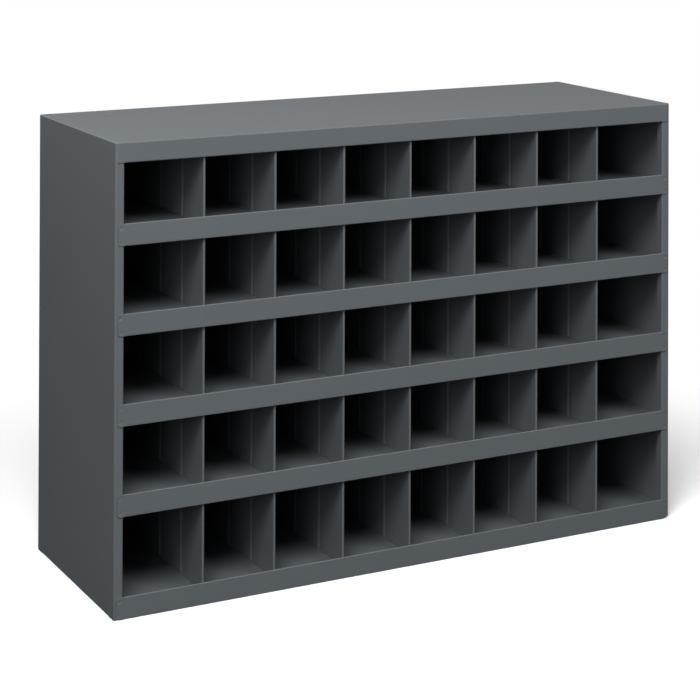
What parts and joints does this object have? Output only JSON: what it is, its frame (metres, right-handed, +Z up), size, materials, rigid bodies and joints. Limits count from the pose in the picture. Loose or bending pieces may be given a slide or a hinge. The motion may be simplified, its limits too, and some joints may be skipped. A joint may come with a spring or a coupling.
{
  "type": "pigeonhole sorter",
  "caption": "Open-front sheet-steel pigeonhole sorter: a folded wrapper with lipped shelves and hemmed upright dividers that keep small things in separate compartments.",
  "frame": {"origin": "centre of the footprint, on the surface the unit stands on", "axes": "+X across the front to the viewer's right, +Y from the open front to the rear, +Z up"},
  "size_m": [0.8572, 0.3048, 0.6064],
  "materials": {
    "enamelled_steel": "semi-gloss grey enamel"
  },
  "bodies": {
    "root": {"body_wrapper": "enamelled_steel", "back_panel": "enamelled_steel", "bottom_shelf": "enamelled_steel", "shelf_1": "enamelled_steel", "shelf_2": "enamelled_steel", "shelf_3": "enamelled_steel", "shelf_4": "enamelled_steel", "divider_r1_c1": "enamelled_steel", "divider_r1_c2": "enamelled_steel", "divider_r1_c3": "enamelled_steel", "divider_r1_c4": "enamelled_steel", "divider_r1_c5": "enamelled_steel", "divider_r1_c6": "enamelled_steel", "divider_r1_c7": "enamelled_steel", "divider_r2_c1": "enamelled_steel", "divider_r2_c2": "enamelled_steel", "divider_r2_c3": "enamelled_steel", "divider_r2_c4": "enamelled_steel", "divider_r2_c5": "enamelled_steel", "divider_r2_c6": "enamelled_steel", "divider_r2_c7": "enamelled_steel", "divider_r3_c1": "enamelled_steel", "divider_r3_c2": "enamelled_steel", "divider_r3_c3": "enamelled_steel", "divider_r3_c4": "enamelled_steel", "divider_r3_c5": "enamelled_steel", "divider_r3_c6": "enamelled_steel", "divider_r3_c7": "enamelled_steel", "divider_r4_c1": "enamelled_steel", "divider_r4_c2": "enamelled_steel", "divider_r4_c3": "enamelled_steel", "divider_r4_c4": "enamelled_steel", "divider_r4_c5": "enamelled_steel", "divider_r4_c6": "enamelled_steel", "divider_r4_c7": "enamelled_steel", "divider_r5_c1": "enamelled_steel", "divider_r5_c2": "enamelled_steel", "divider_r5_c3": "enamelled_steel", "divider_r5_c4": "enamelled_steel", "divider_r5_c5": "enamelled_steel", "divider_r5_c6": "enamelled_steel", "divider_r5_c7": "enamelled_steel"}
  },
  "joints": []
}
